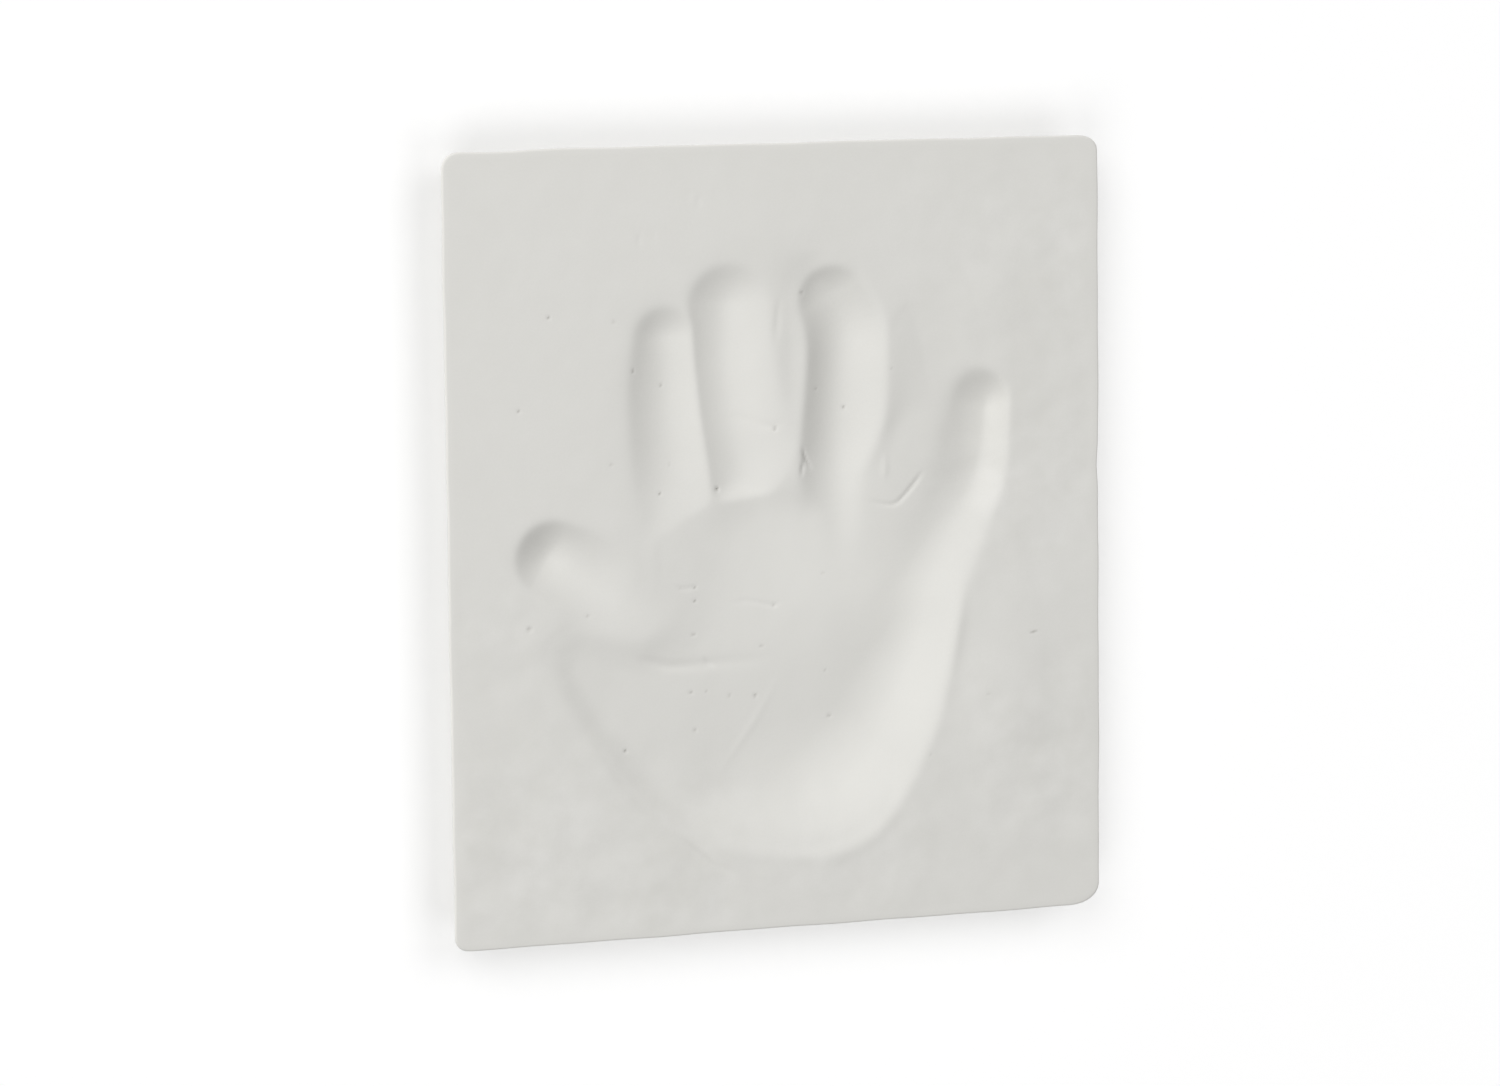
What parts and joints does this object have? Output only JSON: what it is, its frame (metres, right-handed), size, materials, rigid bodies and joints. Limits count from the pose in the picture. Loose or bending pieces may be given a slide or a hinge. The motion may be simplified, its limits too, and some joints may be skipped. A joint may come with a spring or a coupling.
{
  "type": "clay handprint plaque",
  "caption": "Flat, rounded-corner slab of air-dry clay with a baby's right hand pressed into its face, kept as a keepsake or set in a frame or box.",
  "frame": {"origin": "centre of the slab's bounding box on its underside, the flat back it lies on", "axes": "+Z out of the printed face, +Y along the slab's longer side towards the fingertips, +X to the right seen from the printed face with the fingertips up, where the thumb points to -X"},
  "size_m": [0.104, 0.12, 0.009],
  "materials": {
    "clay": "matt"
  },
  "bodies": {
    "root": {"handprint_slab": "clay"}
  },
  "joints": []
}
